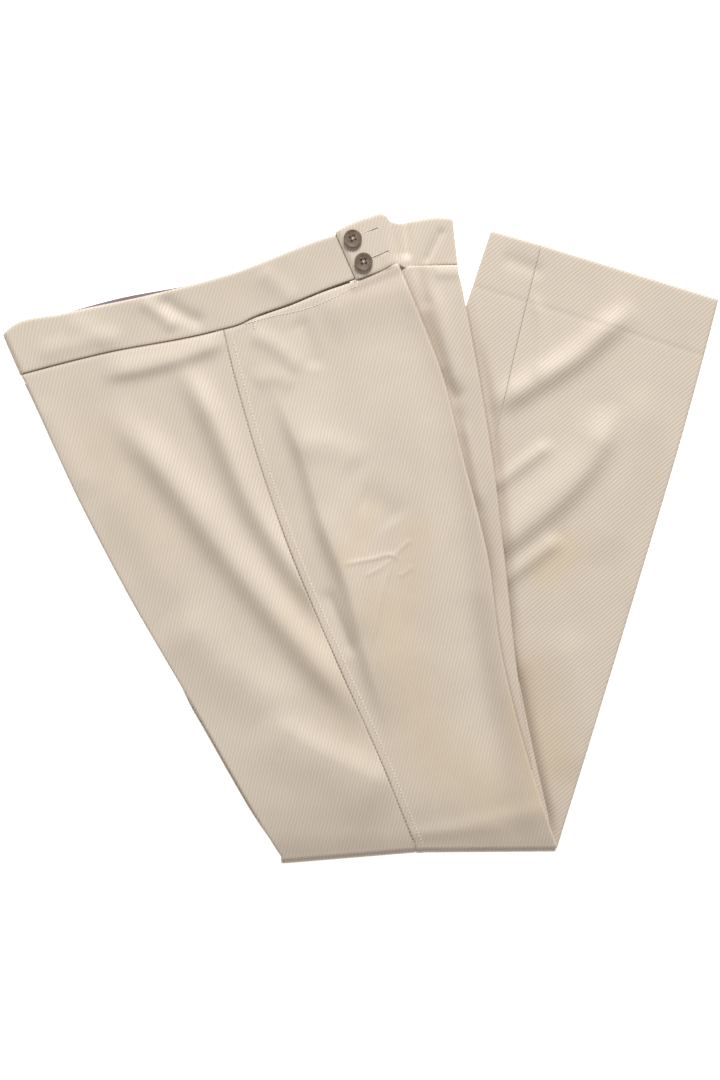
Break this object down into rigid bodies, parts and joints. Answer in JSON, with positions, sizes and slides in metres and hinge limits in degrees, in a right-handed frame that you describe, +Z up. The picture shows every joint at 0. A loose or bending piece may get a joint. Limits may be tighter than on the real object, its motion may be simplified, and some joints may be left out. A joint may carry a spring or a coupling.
{
  "type": "folded straight leg trousers",
  "caption": "High-waisted straight leg twill trousers, folded along the leg creases and again at the knee, lying flat, with a buttoned waist tab.",
  "frame": {"origin": "centre of the footprint's bounding box, on the surface the trousers lie on", "axes": "+X across the trousers from the seat side to the open hems' outer corner, +Y from the knee fold to the waist, +Z up out of the surface"},
  "size_m": [0.648, 0.5844, 0.0198],
  "materials": {
    "twill": "satin twill with fine diagonal ribs",
    "facing": "matt plain weave",
    "button": "semi-gloss horn look"
  },
  "bodies": {
    "root": {"right_leg_back": "twill", "right_leg_front": "twill", "left_leg_front_thigh": "twill", "left_leg_back_shin": "twill", "left_leg_front_shin": "twill", "waistband_right": "twill", "waistband_left": "twill", "waistband_facing": "facing", "pocket_facing_right": "twill", "button_upper": "button", "button_lower": "button", "hidden_layers": "twill"}
  },
  "joints": []
}
